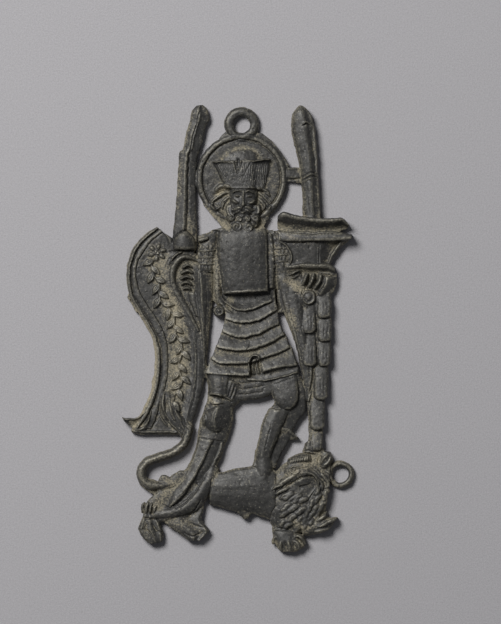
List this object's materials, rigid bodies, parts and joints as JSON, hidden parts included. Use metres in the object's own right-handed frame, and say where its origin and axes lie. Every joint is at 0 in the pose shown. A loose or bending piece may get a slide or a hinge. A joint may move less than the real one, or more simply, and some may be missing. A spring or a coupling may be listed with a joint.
{
  "type": "pilgrim badge",
  "caption": "Flat-backed openwork badge in dark tin-lead alloy: a haloed figure in plate armour with sword, scroll and anvil, standing on a maned animal, with sewing loops.",
  "frame": {"origin": "centre of the box around the badge, on its flat back", "axes": "+Y up the figure towards the top loop, +X to the viewer's right, +Z out of the relief"},
  "size_m": [0.0468, 0.0894, 0.004],
  "materials": {
    "alloy": "dark weathered tin-lead casting with pale tan dirt in the recesses"
  },
  "bodies": {
    "root": {"badge": "alloy"}
  },
  "joints": []
}
